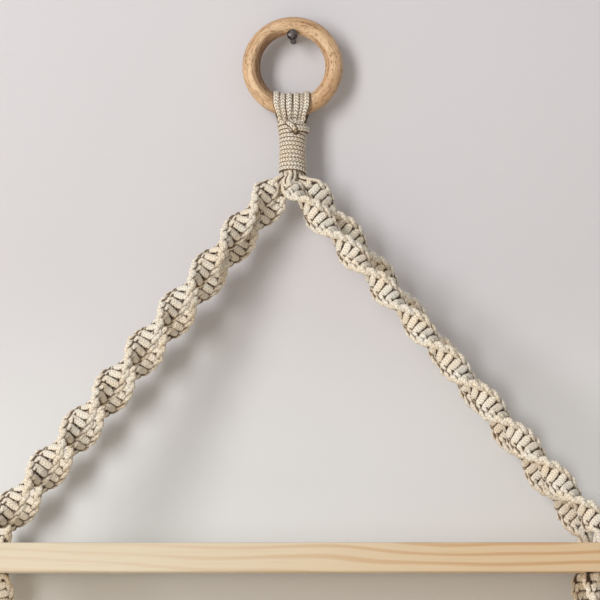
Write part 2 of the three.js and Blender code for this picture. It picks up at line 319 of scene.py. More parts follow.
def cordPiece(name, strands, material, body, replaced=(), **changed):
    sizes = {**cord, **changed}
    lines = bpy.data.meshes.new(name)
    joined = {key: np.concatenate([s[key] for s in strands]) for key in strands[0]}
    edges = []
    start = 0
    for s in strands:
        count = len(s["points"])
        edges += [(start + k, start + k + 1) for k in range(count - 1)]
        start += count
    lines.from_pydata((joined["points"] * mm).tolist(), edges, [])
    for key, kind, field, scale in (("thickness", "FLOAT", "value", mm),
                                    ("squeeze", "FLOAT", "value", 1),
                                    ("facing", "FLOAT_VECTOR", "vector", 1)):
        values = (joined[key] * scale).astype(np.float32).ravel()
        lines.attributes.new(key, kind, "POINT").data.foreach_set(field, values)
    piece = linked(name, lines)
    modifier = piece.modifiers.new("cord", "NODES")
    modifier.node_group = cordNodes
    values = {"Segment": sizes["segment"] * mm, "Sides": sizes["sides"],
              "Plait Length": sizes["plaitLength"] * mm,
              "Plait Columns": float(sizes["plaitColumns"]),
              "Plait Depth": sizes["plaitDepth"], "Widen": sizes["widen"],
              "Material": material}
    for socket in cordNodes.interface.items_tree:
        if socket.in_out == "INPUT" and socket.name in values:
            modifier[socket.identifier] = values[socket.name]
    graph = bpy.context.evaluated_depsgraph_get()
    made = bpy.data.meshes.new_from_object(piece.evaluated_get(graph))
    piece.modifiers.remove(modifier)
    piece.data = made
    made.name = name
    bpy.data.meshes.remove(lines)
    made.polygons.foreach_set("use_smooth", [True] * len(made.polygons))
    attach(piece, body)
    if replaced:
        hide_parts(*replaced)
    lengths = [round(float(np.linalg.norm(np.diff(s["points"], axis=0), axis=1).sum()))
               for s in strands[:4]]
    print("  ", name, len(made.loops) - 2 * len(made.polygons), "triangles, cords", lengths, "mm")


yarn = {
    "perPlait": 3,
    "lightTone": (255, 249, 235),
    "shadowTone": (255, 241, 218),
    "toneScale": 90,
    "uneven": 0.5,  # how far the stitches stray along the cord, in stitches
    "unevenScale": 420,
    # Painted shade in the grooves between the fibres and in the hollows between the stitches.
    "grooveTone": (72, 42, 18),
    "grooveShare": 0.07,
    # The hollows between the stitches, which get painted shade, by the height of a stitch and of its
    # column.
    "hollowStitch": (-1, -0.2),
    "hollowRidge": (-0.25, 0.3),
    # How much painted shade the hollows and the sides get.
    "lightPaintedShadeShares": (0.36, 0.3),
    "deepPaintedShadeShares": (0.84, 0.6),
    "looseShares": (0, 0),
    "fleckTone": (216, 194, 158),
    "fleckScale": 1500,
    "fleckRange": (0.62, 0.78),
    "fleckShare": 0.1,
    # Painted shade on a strand's sides, and darker painted shade in the creases where strands meet.
    "sideTone": (186, 150, 108),
    "sideRange": (0.1, 0.82),
    "creaseTone": (66, 38, 16),
    "creaseRange": (0.12, 0.52),
    "creaseShare": 0.8,
    "fluffScale": 2600,
    "fluffHeight": 0.5,
    "fibreHeight": 0.15,
}


def cottonMaterial(name, hollowShare, sideShare):
    material, nodes = newMaterial(name)
    place = nodes.place()
    plait = nodes.add("ShaderNodeAttribute", {"attribute_name": "plait"}, output="Vector")
    lift = nodes.add("ShaderNodeAttribute", {"attribute_name": "lift"}, output="Fac")
    across, up, along = nodes.parts(plait)
    stray = (nodes.noise(place, yarn["unevenScale"], 1) - 0.5) * yarn["uneven"]
    column = up.angleOver(across) * (cord["plaitColumns"] / fullTurn)
    row = along / cord["plaitLength"] + stray
    stitch, ridge = plaitOf(column, row)
    fibres = (row * (fullTurn * yarn["perPlait"])
              + column.folded(0.5) * (2 * fullTurn * yarn["perPlait"] * cord["stitchLean"])).cosine()
    hollow = 1 - stitch.between(*yarn["hollowStitch"]) * ridge.between(*yarn["hollowRidge"])
    fluff = nodes.noise(place, yarn["fluffScale"], 3, 0.6)
    flecks = nodes.noise(place, yarn["fleckScale"]).between(*yarn["fleckRange"])
    # The cotton's own tone and flecks, with painted shade in the grooves and hollows, on the sides and in
    # the creases.
    cottonWithPaintedShade = nodes.layered(
        yarn["shadowTone"],
        (nodes.noise(place, yarn["toneScale"]).between(0.3, 0.7), yarn["lightTone"]),
        ((0.5 - fibres * 0.5) * yarn["grooveShare"], yarn["grooveTone"]),
        (hollow * hollowShare, yarn["grooveTone"]),
        (flecks * yarn["fleckShare"], yarn["fleckTone"]),
        ((1 - lift.between(*yarn["sideRange"])) * sideShare, yarn["sideTone"]),
        ((1 - lift.between(*yarn["creaseRange"])) * yarn["creaseShare"], yarn["creaseTone"]))
    height = fibres * yarn["fibreHeight"] + fluff * yarn["fluffHeight"] - hollow
    nodes.feed(nodes.shader, {
        "Base Color": cottonWithPaintedShade, "Normal": nodes.bump(height, 0.7, 0.0003), "Roughness": 0.9,
        "Sheen Weight": 0.05, "Sheen Roughness": 0.5, "Specular IOR Level": 0.2})
    return material


# The ropes get light painted shade in their hollows and on their sides, the loops and wrappings deep
# painted shade, and the loose threads none.
cotton = cottonMaterial("plaited cotton", *yarn["lightPaintedShadeShares"])
deepShadeCotton = cottonMaterial("plaited cotton with deep painted shade", *yarn["deepPaintedShadeShares"])
looseCotton = cottonMaterial("loose cotton", *yarn["looseShares"])
print("cotton mixed")


def ease(value):
    share = np.clip(value, 0, 1)
    return share * share * (3 - 2 * share)


def rising(value, low, high):
    return ease((value - low) / (high - low))


def blendOf(first, second, share):
    return first + (np.asarray(second) - first) * share


def threaded(points, perSpan):  # a smooth line through control points, in any number of columns
    points = np.array(points, float)
    padded = np.vstack([2 * points[0] - points[1], points, 2 * points[-1] - points[-2]])
    shares = np.arange(perSpan)[:, None] / perSpan
    spans = []
    for a, b, c, d in zip(padded, padded[1:], padded[2:], padded[3:]):
        spans.append(0.5 * (2 * b + (c - a) * shares + (2 * a - 5 * b + 4 * c - d) * shares ** 2
                            + (3 * b - a - 3 * c + d) * shares ** 3))
    return np.vstack(spans + [points[-1:]])


def lineThrough(values, places, at):
    return np.column_stack([np.interp(at, places, values[:, k]) for k in range(3)])


class BentLine:  # straight legs with a round bend at each corner
    def __init__(self, corners, bend, step=0.25, bendSteps=16):
        corners = [np.array(c, float) for c in corners]
        points = [corners[0]]
        for before, corner, after in zip(corners, corners[1:], corners[2:]):
            ends = []
            for leg in (before - corner, after - corner):
                length = np.linalg.norm(leg)
                ends.append(corner + leg / length * min(bend, length / 2))
            for share in np.linspace(0, 1, bendSteps):
                points.append((1 - share) ** 2 * ends[0] + 2 * share * (1 - share) * corner
                              + share ** 2 * ends[1])
        points = np.array(points + [corners[-1]])
        steps = np.linalg.norm(np.diff(points, axis=0), axis=1)
        points = points[np.append(True, steps > mm * mm)]  # no point twice
        travelled = np.append(0, np.cumsum(np.linalg.norm(np.diff(points, axis=0), axis=1)))
        self.length = travelled[-1]
        self.steps = np.arange(0, self.length + step, step)
        self.points = lineThrough(points, travelled, self.steps)
        heading = np.gradient(self.points, axis=0)
        self.heading = heading / np.linalg.norm(heading, axis=1)[:, None]

    def at(self, distance):  # past its ends the line runs straight on
        middle = lineThrough(self.points, self.steps, distance)
        along = lineThrough(self.heading, self.steps, distance)
        outside = np.minimum(distance, 0) + np.maximum(distance - self.length, 0)
        return middle + along * outside[:, None], along / np.linalg.norm(along, axis=1)[:, None]


# A half knot lays one working cord as a bar over the fillers, and the other takes it round the rope's edge.
knot = {
    "cord": 4.5,
    "barReach": 4.6,  # from the rope's middle to where a bar goes under the other cord
    "barEnd": 1.5,  # height of a bar's ends over the rope's middle plane
    "barCrown": 2.4,
    "barLean": 0.8,
    "barSqueeze": 0.42,
    "edgeSqueeze": 0.05,
    "edgeCordShare": 0.8,
    # Round the edge: how far out, how high, how many knots on, and which way it leans.
    "edgeRoute": [(6.0, 0.3, 0, -1), (7.4, -0.3, 0.30, 0), (7.4, 1.1, 0.62, 0),
                  (6.6, 2.15, 0.98, 0), (5.2, 0.9, 1.28, 1), (4.4, -0.5, 1.38, 1)],
    "filler": 2.5,
    "fillerApart": 1.4,
    "fillerStep": 1.5,
    "fillerEase": 4,
    # Before and after the knots the four strands lie in a bundle.
    "bundleShare": 0.72,  # how far a strand lies from the middle, as a share of its thickness
    "bundleStep": 3,
    "bundleGap": 0.6,  # from the bundle's end to the first knot, in knots
    "bundleStart": 2,
    "edgeFacing": 0.4,
    "leastFacing": 0.01,
    # How wide the painted shade creases at a strand's sides are, and how much wider where it goes under.
    "edgeCrease": 0.62,
    "barCrease": 1.0,
    "hiddenCrease": 0.68,
    "barHides": (2.8, 4.6),
    "edgeHides": (3, 4),
    "edgeShows": (4.4, 5.9),
    "samples": 5,
    "uneven": 0.2,  # how far a hand-tied knot strays from its place
    "seed": 11,
}

knotChance = np.random.default_rng(knot["seed"])


# The width of a strand's painted crease shade, widest where it goes under another strand.
def creaseOf(across, squeeze):
    barShare = np.clip(squeeze / knot["barSqueeze"], 0, 1)
    far = np.abs(across)
    edgeHidden = rising(far, *knot["edgeHides"]) * (1 - rising(far, *knot["edgeShows"]))
    barHidden = rising(far, *knot["barHides"])
    return (blendOf(knot["edgeCrease"], knot["barCrease"], barShare)
            + knot["hiddenCrease"] * blendOf(edgeHidden, barHidden, barShare))


def knottedStrands(line, corner, firstKnot, lastKnot, sizeAt, begin, end):
    pitch = corner["pitch"]
    count = int((lastKnot - firstKnot) / pitch)
    knotsEnd = firstKnot + count * pitch
    lean = knot["barLean"]
    reach, low, crown = knot["barReach"], knot["barEnd"], knot["barCrown"]
    bar = (knot["barSqueeze"], 1)
    edge = (knot["edgeSqueeze"], knot["edgeCordShare"])
    strands = []

    def placed(local):  # columns: across, out, distance, squeeze, share of the thickness
        across, out, at, squeeze, share = local.T
        size, thickness = sizeAt(at)
        middle, along = line.at(at)
        depth = np.array((0, 1, 0)) - along * along[:, 1:2]
        depth /= np.linalg.norm(depth, axis=1)[:, None]
        flat = np.cross(along, depth)
        turn = fullTurn * ((at - firstKnot) / (pitch * shelf["knotsPerTurn"]) + corner["lobe"] / 2)
        wide = flat * np.cos(turn)[:, None] + depth * np.sin(turn)[:, None]
        thick = np.cross(along, wide)
        points = middle + wide * (across * size)[:, None] + thick * (out * size)[:, None]
        facing = wide * (across * knot["edgeFacing"])[:, None] + thick * out[:, None]
        length = np.linalg.norm(facing, axis=1) + knot["leastFacing"]
        facing *= (creaseOf(across, squeeze) * corner["crease"] / length)[:, None]
        strands.append(strand(points, thickness * share, facing, squeeze))

    def bundled(at, side):
        size, thickness = sizeAt(np.array([at]))
        return (side * knot["bundleShare"] * thickness[0] / size[0], 0, at, 0, 1)

    tightStart = np.arange(begin, firstKnot - knot["bundleGap"] * pitch, knot["bundleStep"])
    tightEnd = np.arange(knotsEnd + knot["bundleStart"], end + hair, knot["bundleStep"])
    for first in (1, -1):
        local = [bundled(at, -first) for at in tightStart]
        for n in range(count):
            side = first if n % 2 == 0 else -first
            at = firstKnot + n * pitch
            local += [(-side * reach, side * low, at + lean, *bar), (0, side * crown, at, *bar),
                      (side * reach, side * low, at - lean, *bar)]
            route = knot["edgeRoute"] if n + 1 < count else knot["edgeRoute"][:1]
            for out, high, on, leaning in route:
                local.append((side * out, side * high, at + on * pitch + lean * leaning, *edge))
        local = np.array(local + [bundled(at, side) for at in tightEnd])
        strays = knotChance.normal(0, knot["uneven"], (len(local), 3))
        local[:, :3] += strays * (local[:, 3:4] != 0)  # the bundles keep their places
        placed(threaded(local, knot["samples"]))
    ats = np.arange(begin, end + hair, knot["fillerStep"])
    far = knot["fillerEase"]
    inside = ease((ats - firstKnot) / far) * ease((knotsEnd - ats) / far)
    size, thickness = sizeAt(ats)
    room = knot["bundleShare"] * thickness / size
    for side in (-1, 1):
        placed(np.column_stack([side * knot["fillerApart"] * inside, side * room * (1 - inside),
                                ats, 0 * ats, 0 * ats + 1]))
        strands[-1]["thickness"] = blendOf(thickness, knot["filler"] * size, inside)
    return strands


# For each rope: its hole, the side on which it leaves the wrapping, where its knots start by the
# wrapping's axis, its half turns there, the room for a knot, its last bend and its painted crease shade's
# width.
corners = {
    "front_left": {"hole": (-200, -133), "exit": (-1, 0), "start": (-13.2, 0, 5.6),
                   "lobe": 0.87, "pitch": 6.08, "over": (2.5, 5), "crease": 1},
    "front_right": {"hole": (200, -133), "exit": (0, -1), "start": (-3.6, -4.9, 7.4),
                    "lobe": 0.04, "pitch": 6.05, "over": (4.5, 9), "crease": 0.88},
    "rear_left": {"hole": (-200, -23), "exit": (0, 1), "start": (-6.6, 4.2, 11.2),
                  "lobe": 0.68, "pitch": 5.62, "over": (1.4, 9), "crease": 1},
    "rear_right": {"hole": (200, -23), "exit": (1, 0), "start": (11.6, 0, 5.6),
                   "lobe": 0.79, "pitch": 5.95, "over": (0.8, 9), "crease": 0.86},
}

rope = {
    "size": 1.06,
    "bend": 5,
    "exitGap": 0.3,
    "exitSpread": 4.9,
    "exitStraight": 1.5,
    "intoWrapping": 5,
    "firstKnotGap": 1.2,
    "startShare": 0.55,  # how large its first knot is
    "startLead": 3,
    "grow": 14,
    "bundleCord": 2.75,
    "bundleLead": 1,
    "bundleGrow": 10,
    "lastKnotGap": 3,
    "holeCord": 4.1,
    "holeShare": 0.72,
    "holeEase": 7,
    "holeGap": 0.1,
}


def makeRopes():
    for name, corner in corners.items():
        exitX, exitY = (rope["exitSpread"] * share for share in corner["exit"])
        top = byAxis(exitX, exitY, gatherEnd + rope["exitGap"])
        leave = byAxis(exitX, exitY, gatherEnd + rope["exitStraight"])
        startX, startY, startDown = corner["start"]
        start = byAxis(startX, startY, gatherEnd + startDown)
        (holeX, holeY), (shift, height) = corner["hole"], corner["over"]
        over = (holeX + shift, holeY, shelf["boardTop"] + height)
        line = BentLine([top, leave, start, over, (holeX, holeY, boardBottom)], rope["bend"])
        firstKnot = rope["firstKnotGap"] + np.linalg.norm(np.subtract(start, leave))
        boardAt = line.length - shelf["boardThickness"]

        def sizeAt(at):
            grown = ease((at - firstKnot + rope["startLead"]) / rope["grow"])
            left = ease((boardAt - at) / rope["holeEase"])
            size = blendOf(rope["startShare"], rope["size"], grown) * blendOf(rope["holeShare"], 1, left)
            swelled = ease((at + rope["bundleLead"]) / (firstKnot + rope["bundleGrow"]))
            thickness = blendOf(rope["bundleCord"], knot["cord"], swelled)
            return size, blendOf(rope["holeCord"], thickness, left)

        strands = knottedStrands(line, corner, firstKnot, boardAt - rope["lastKnotGap"], sizeAt,
                                 -rope["intoWrapping"], line.length - rope["holeGap"])
        cordPiece(f"knotted_rope_{name}", strands, cotton, "hanger", [f"spiral_rope_{name}"])


makeRopes()
print("ropes knotted")

tail = {
    "gap": 0.3,
    "length": 54,
    "firstKnot": 2.6,
    "lastKnotGap": 1,
    "endGap": 0.2,
    "narrowing": 9,
    "endShare": 0.62,
    "neckCord": 2.9,
    "wrapCord": 3.35,
    "wrapGap": 0.4,
    "wrapTurns": 4.1,
    "wrapPitch": 3.35,
    "wrapRadius": 5.3,
    "wrapLength": 16.3,
    "wrapSteps": 40,  # in a turn
    "wrapSqueeze": 0.12,
}


def makeTails():
    for name, corner in corners.items():
        holeX, holeY = corner["hole"]
        top = boardBottom - tail["gap"]
        bottom = top - tail["length"] - tail["wrapLength"]
        line = BentLine([(holeX, holeY, top), (holeX, holeY, bottom)], 0)

        def sizeAt(at):
            left = ease((tail["length"] - at) / tail["narrowing"])
            return blendOf(tail["endShare"], 1, left), blendOf(tail["neckCord"], knot["cord"], left)

        lastKnot = tail["length"] - tail["lastKnotGap"]
        strands = knottedStrands(line, corner, tail["firstKnot"], lastKnot, sizeAt,
                                 tail["endGap"], line.length - tail["endGap"])
        cordPiece(f"knotted_tail_{name}", strands, cotton, "hanger", [f"rope_tail_{name}"])

        turns = tail["wrapTurns"]
        angle = np.linspace(0, fullTurn * turns, int(tail["wrapSteps"] * turns))
        out = np.column_stack([np.cos(angle), np.sin(angle), 0 * angle])
        dropped = tail["wrapCord"] / 2 + angle / fullTurn * tail["wrapPitch"]
        middle = np.array((holeX, holeY, top - tail["length"] - tail["wrapGap"]))
        wound = middle + out * tail["wrapRadius"] - np.outer(dropped, (0, 0, 1))
        wrap = strand(wound, tail["wrapCord"], out, tail["wrapSqueeze"])
        cordPiece(f"wrap_{name}", [wrap], deepShadeCotton, "hanger", [f"tail_wrap_{name}"])


makeTails()
print("tails knotted and wrapped")

tassel = {
    "top": -445.3,
    "bottom": -502.0,
    "strands": 4,
    "steps": 24,
    "cord": 4.0,
    "cut": (0.93, 1),  # how long a strand is, as a share of the whole
    "knob": 1.9,  # from the middle to a strand at the top
    "shoulder": (0.9, 6),  # how far it swells there, and how steeply
    "flare": 1.7,
    "wave": (0.35, 7),  # how far a strand waves, and how steeply
    "sway": (0.5, 5),
    "fray": 0.52,  # where a strand opens into threads
    "frayStray": 0.05,
    "narrowing": 0.25,
    "narrowsOver": 0.12,
    "threads": 13,
    "threadWidth": 0.75,
    "threadSteps": 14,
    "threadCord": {"segment": 1.6, "sides": 6, "plaitDepth": 0, "plaitColumns": 1},
    "threadLead": 0.1,
    "threadCut": (0.9, 1),
    "threadPlace": (0.1, 0.6),  # the least share of the reach, and how threads crowd outwards
    "threadReach": 1.1,
    "spread": 2.1,
    "wander": (0.35, 9, 11),
    "seed": 7,
}


def makeTassels():
    chance = random.Random(tassel["seed"])
    length = tassel["top"] - tassel["bottom"]
    shares = np.linspace(0, 1, tassel["steps"])
    shoulder, steepness = tassel["shoulder"]
    wave, waveTurn = tassel["wave"]
    sway, swayTurn = tassel["sway"]

    def thread(line, begin):
        nearest, crowding = tassel["threadPlace"]
        wander, wanderX, wanderY = tassel["wander"]
        turn = chance.uniform(0, fullTurn)
        distance = chance.uniform(nearest, 1) ** crowding
        lean = np.array((math.cos(turn), math.sin(turn), 0))
        start = chance.uniform(0, fullTurn)
        points = []
        for share in np.linspace(begin, chance.uniform(*tassel["threadCut"]), tassel["threadSteps"]):
            opened = ease((share - begin) / (1 - begin))
            stray = (math.sin(start + wanderX * share), math.cos(start + wanderY * share), 0)
            reach = distance * (tassel["threadReach"] + tassel["spread"] * opened)
            points.append(lineThrough(line, shares, [share])[0] + lean * reach
                          + wander * opened * np.array(stray))
        return strand(points, tassel["threadWidth"])

    for name, corner in corners.items():
        strands, threads = [], []
        for k in range(tassel["strands"]):
            angle = fullTurn * (k + 0.5) / tassel["strands"]
            away = np.array((math.cos(angle), math.sin(angle), 0))
            side = np.array((-away[1], away[0], 0))
            drop = length * chance.uniform(*tassel["cut"])
            swing = chance.uniform(-1, 1)
            out = (tassel["knob"] + shoulder * ease(shares * steepness)
                   + tassel["flare"] * ease(shares) + wave * np.sin(shares * waveTurn + swing))
            line = (np.array((*corner["hole"], tassel["top"])) + np.outer(out, away)
                    + np.outer(sway * np.sin(shares * swayTurn + 2 * swing), side)
                    - np.outer(shares * drop, (0, 0, 1)))
            fray = tassel["fray"] + chance.uniform(-tassel["frayStray"], tassel["frayStray"])
            kept = shares <= fray
            frayed = ease((shares[kept] - fray + tassel["narrowsOver"]) / tassel["narrowsOver"])
            strands.append(strand(line[kept], tassel["cord"] * (1 - tassel["narrowing"] * frayed)))
            threads += [thread(line, fray - tassel["threadLead"]) for _ in range(tassel["threads"])]
        body = f"tassel_{name}"
        cordPiece(f"tassel_cords_{name}", strands, cotton, body, [f"tassel_{name}"])
        cordPiece(f"tassel_threads_{name}", threads, looseCotton, body, **tassel["threadCord"])


makeTassels()
print("tassels frayed")

gather = {
    "cord": 3.1,
    # how wide the painted crease shade between the wrapping's turns is
    "crease": 1.5,
    "squeeze": 0.04,
    "turns": 12,
    "steps": 48,  # in a turn
    "startTurn": 0.25,  # which puts both ends at the back
    "above": 4.3,  # how far the wrapping's first turn stands over the fixed model's
    "widths": (22.4, 18.8, 20.6),  # at the top, the waist and the bottom
    # The cord's end comes out in front and tucks in, by the axis from the fixed model's top.
    "endCord": 3.7,
    "endRoute": [(-3.6, -6.4, -1.6), (-3.5, -9.4, -0.7), (-2.5, -12.0, 0.7), (-0.5, -13.2, 2.5),
                 (1.2, -12.7, 4.4), (2.2, -10.5, 5.9), (2.4, -7.8, 6.5)],
    "endSamples": 8,
    # Its last turn lies over the others, round the right side.
    "lastCord": 4.9,
    "lastSqueeze": 0.12,
    "lastTurn": (-1.75, 1.3),
    "lastSteps": 40,
    "lastReach": 9.7,
    "lastTuck": 2.2,
    "lastTuckRange": (0.6, 1.3),
    "lastDrop": 1.1,
    "lastSlope": 2.2,
    # The strands inside.
    "inner": 2.9,
    "innerRim": 12,
    "innerCore": 4,
    "coreRadius": 1.7,
    "innerSteps": 12,
    "innerTop": 2,
    "innerEnd": 0.6,
}

loops = {
    # how wide the painted crease shade between the loops is
    "crease": 1.45,
    "places": [(-11.3, 4.5), (-8.8, 2.6), (-6.6, 3.7), (-2.3, 4.7), (0.3, 2.4), (2.9, 4.8),
               (6.4, 2.9), (9.8, 4.6)],  # each loop's place along the ring and its thickness
    "pressed": (0.2, 0.46),  # for a loop at the ring's middle and for one at the end
    "widen": 0.15,
    "touch": 0.58,
    "tip": 18,  # degrees
    "tipShare": 0.3,  # room for tipping with the shelf, where the ring curves up
    "steps": 44,
    "samples": 3,
    "legShare": 0.77,
    "legBack": 4.4,
    "legCordShare": 0.78,
    "legGap": 0.3,
    "legStraight": 1.6,
    # Inside the wrapping: the share of the leg's place, its rear and lower place, its cord's share.
    "hidden": [(1, 4.4, 0, 1), (0.8, 4.0, 2.5, 0.9), (0.62, 3.2, 6, 0.75)],
    # The heights, by the stock's middle, over which a loop gets pressed and turns to face outwards.
    "pressedFrom": (-3, 2),
    "outwardFrom": (-12, -6),
}


def stockRise(x):  # how far the ring's stock has curved up
    return shelf["ringRadius"] - math.sqrt(shelf["ringRadius"] ** 2 - x ** 2)


def loopStrand(x, width):
    farthest = max(abs(place) for place, _ in loops["places"])
    pressed = blendOf(*loops["pressed"], (abs(x) / farthest) ** 3)
    tipRoom = loops["tipShare"] * stockRise(x) * math.sin(math.radians(loops["tip"]))
    radius = (shelf["ringStock"] + width * (1 - pressed)) / 2 + loops["touch"] + tipRoom
    legX = x * loops["legShare"]
    legEnd = shelf["gatherDrop"] - gather["above"] - loops["legGap"]
    thin = width * loops["legCordShare"]

    def leg(side):  # how far it reaches from the ring's foot, and by which turn
        end = byAxis(legX, side * loops["legBack"], legEnd - loops["legStraight"]) - ringFoot
        reach = np.linalg.norm(end[1:])
        return reach, side * math.acos(end[2] / reach)

    def legInside(side):
        return [(*byAxis(legX * share, side * rear, legEnd + drop), thin * cordShare)
                for share, rear, drop, cordShare in loops["hidden"]]

    legs = [leg(-1), leg(1)]
    over = []
    for turn in np.linspace(legs[0][1], legs[1][1], loops["steps"]):
        reach, legTurn = legs[0] if turn < 0 else legs[1]
        share = float(ease((abs(turn) - math.pi / 2) / (abs(legTurn) - math.pi / 2)))
        out = blendOf(radius, reach, share)
        rise = stockRise(x) * (1 - share) + out * math.cos(turn)
        over.append((*(ringFoot + (blendOf(x, legX, share), out * math.sin(turn), rise)),
                     blendOf(width, thin, share)))
    line = threaded(legInside(-1)[::-1] + over + legInside(1), loops["samples"])
    points, thickness = line[:, :3], line[:, 3]
    height = points[:, 2] - ringFoot[2]
    outwards = points - (0, *ringFoot[1:])
    outwards[:, 0] = 0
    outwards /= np.linalg.norm(outwards, axis=1)[:, None]
    legFacing = np.where(outwards[:, 1:2] < 0, -1, 1) * back
    facing = blendOf(legFacing, outwards, rising(height, *loops["outwardFrom"])[:, None])
    squeeze = pressed * rising(height, *loops["pressedFrom"])
    return strand(points, thickness, facing * loops["crease"], squeeze)


def makeLoops():
    for k, (x, width) in enumerate(loops["places"]):
        cordPiece(f"loop_{k + 1}", [loopStrand(x, width)], deepShadeCotton, "hanger",
                  [f"cord_loop_{k + 1}"], widen=loops["widen"])


makeLoops()
print("loops laid over the ring")


def gatherWidth(share):
    top, waist, bottom = gather["widths"]
    return blendOf(waist, np.where(share < 0.5, top, bottom), (2 * share - 1) ** 2)


def aroundAxis(angle):
    return np.outer(np.cos(angle), (1, 0, 0)) + np.outer(np.sin(angle), back)


def makeWrapping():
    drop, width, crease = shelf["gatherDrop"], gather["cord"], gather["crease"]
    length = shelf["gatherLength"] + gather["above"]
    shares = np.linspace(0, 1, int(gather["steps"] * gather["turns"]))
    dropped = width / 2 + shares * (length - width)
    radius = (gatherWidth(dropped / length) - width) / 2
    out = aroundAxis(fullTurn * (gather["startTurn"] + shares * gather["turns"]))
    wound = ringFoot + out * radius[:, None] + np.outer(drop - gather["above"] + dropped, down)
    route = [byAxis(x, y, drop + z) for x, y, z in gather["endRoute"]]
    angle = np.linspace(*gather["lastTurn"], gather["lastSteps"])
    lastOut = aroundAxis(angle)
    lastReach = gather["lastReach"] - gather["lastTuck"] * rising(angle, *gather["lastTuckRange"])
    lastDrop = drop + gather["lastDrop"] - gather["lastSlope"] * np.sin(angle)
    lastTurn = ringFoot + lastOut * lastReach[:, None] + np.outer(lastDrop, down)
    strands = [strand(wound, width, out * crease, gather["squeeze"]),
               strand(threaded(route, gather["endSamples"]), gather["endCord"], -back * crease),
               strand(lastTurn, gather["lastCord"], lastOut * crease, gather["lastSqueeze"])]
    cordPiece("wrapping_cord", strands, deepShadeCotton, "hanger", ["gathering_wrap"])


def makeGatheredStrands():
    rim = gather["widths"][1] / 2 - gather["cord"] - gather["inner"] / 2
    top, bottom = shelf["gatherDrop"] + gather["innerTop"], gatherEnd - gather["innerEnd"]
    rows = [(gather["innerRim"], rim, 0), (gather["innerCore"], gather["coreRadius"], 0.5)]
    strands = []
    for count, radius, start in rows:
        for k in range(count):
            angle = fullTurn * (k + start) / count
            right, towards = radius * math.cos(angle), radius * math.sin(angle)
            line = [byAxis(right, towards, b) for b in np.linspace(top, bottom, gather["innerSteps"])]
            strands.append(strand(line, gather["inner"]))
    cordPiece("gathered_strands", strands, cotton, "hanger", ["gathered_cords"])


makeWrapping()
makeGatheredStrands()
print("wrapping wound")


def meshPiece(name, points, faces, material, body, replaced):
    piece = meshObject(name, (np.array(points) * mm).tolist(), faces, material)
    piece.data.polygons.foreach_set("use_smooth", [True] * len(faces))
    piece.data.update()
    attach(piece, body)
    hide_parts(*replaced)


ring = {
    "aroundSteps": 160,
    "stockSteps": 44,
    "wobble": 0.12,
    "wobbles": 3,  # round the ring
    "midTone": (201, 163, 124),
    "paleTone": (222, 190, 152),
    "broad": (130, 24),  # the noise's scale across the grain and along it
    "broadRange": (0.35, 0.65),
    "streakTone": (132, 90, 56),
    "streaks": (560, 40),
    "streakRange": (0.5, 0.7),
    "streakShare": 0.6,
    "poreTone": (98, 62, 36),
    "pores": (1250, 340),
    "poreRange": (0.54, 0.66),
    "poreShare": 0.62,
    "shadyTone": (102, 66, 38),
    "shadyRadius": (0.0245, 0.0300),  # painted shade on the inside of the left half, in metres
    "shadySide": (-0.022, 0.003),
    "shadyShares": (0.4, 0.8),  # everywhere, and more in the streaks
}


def ringMaterial():
    material, nodes = newMaterial("turned beech")
    x, y, z = nodes.parts(nodes.place())
    up = z - shelf["ringCentre"][2] * mm
    radius = (x * x + up * up) ** 0.5
    # The seam of this angle lies at the bottom, under the loops.
    turned = x.angleOver(up)

    def grain(scales, detail, roughness):
        across, along = scales
        place = nodes.joined(radius * across, y * across, turned * (along * shelf["ringRadius"] * mm))
        return nodes.noise(place, 1, detail, roughness)

    streaks = grain(ring["streaks"], 3, 0.6)
    pores = grain(ring["pores"], 2, 0.6).between(*ring["poreRange"])
    # Painted shade on the inside of the ring's left half, which faces away from the lamp.
    shady = (1 - radius.between(*ring["shadyRadius"])) * (1 - x.between(*ring["shadySide"]))
    shadyShare, shadyStreaks = ring["shadyShares"]
    colour = nodes.layered(
        ring["midTone"],
        (grain(ring["broad"], 2, 0.5).between(*ring["broadRange"]), ring["paleTone"]),
        (streaks.between(*ring["streakRange"]) * ring["streakShare"], ring["streakTone"]),
        (shady * (shadyShare + streaks * shadyStreaks), ring["shadyTone"]),
        (pores * ring["poreShare"], ring["poreTone"]))
    nodes.feed(nodes.shader, {
        "Base Color": colour, "Normal": nodes.bump(streaks * 0.6 - pores, 0.5, 0.0003),
        "Roughness": 0.5 + pores * 0.2, "Specular IOR Level": 0.35})
    return material


def makeRing():
    points, faces = [], []
    rows, columns = ring["aroundSteps"], ring["stockSteps"]
    centre = np.array(shelf["ringCentre"], float)
    for k in range(rows):
        turn = fullTurn * k / rows
        outwards = np.array((math.cos(turn), 0, math.sin(turn)))
        uneven = 0.5 + 0.5 * math.sin(ring["wobbles"] * turn + 1)
        stock = shelf["ringStock"] / 2 - ring["wobble"] * uneven
        row, nextRow = k * columns, (k + 1) % rows * columns
        for j in range(columns):
            angle = fullTurn * j / columns
            following = (j + 1) % columns
            reach = shelf["ringRadius"] + stock * math.cos(angle)
            points.append(centre + outwards * reach + (0, stock * math.sin(angle), 0))
            faces.append((row + j, row + following, nextRow + following, nextRow + j))
    meshPiece("turned_ring", points, faces, ringMaterial(), "ring", ["hanging_ring"])


makeRing()
print("ring turned")

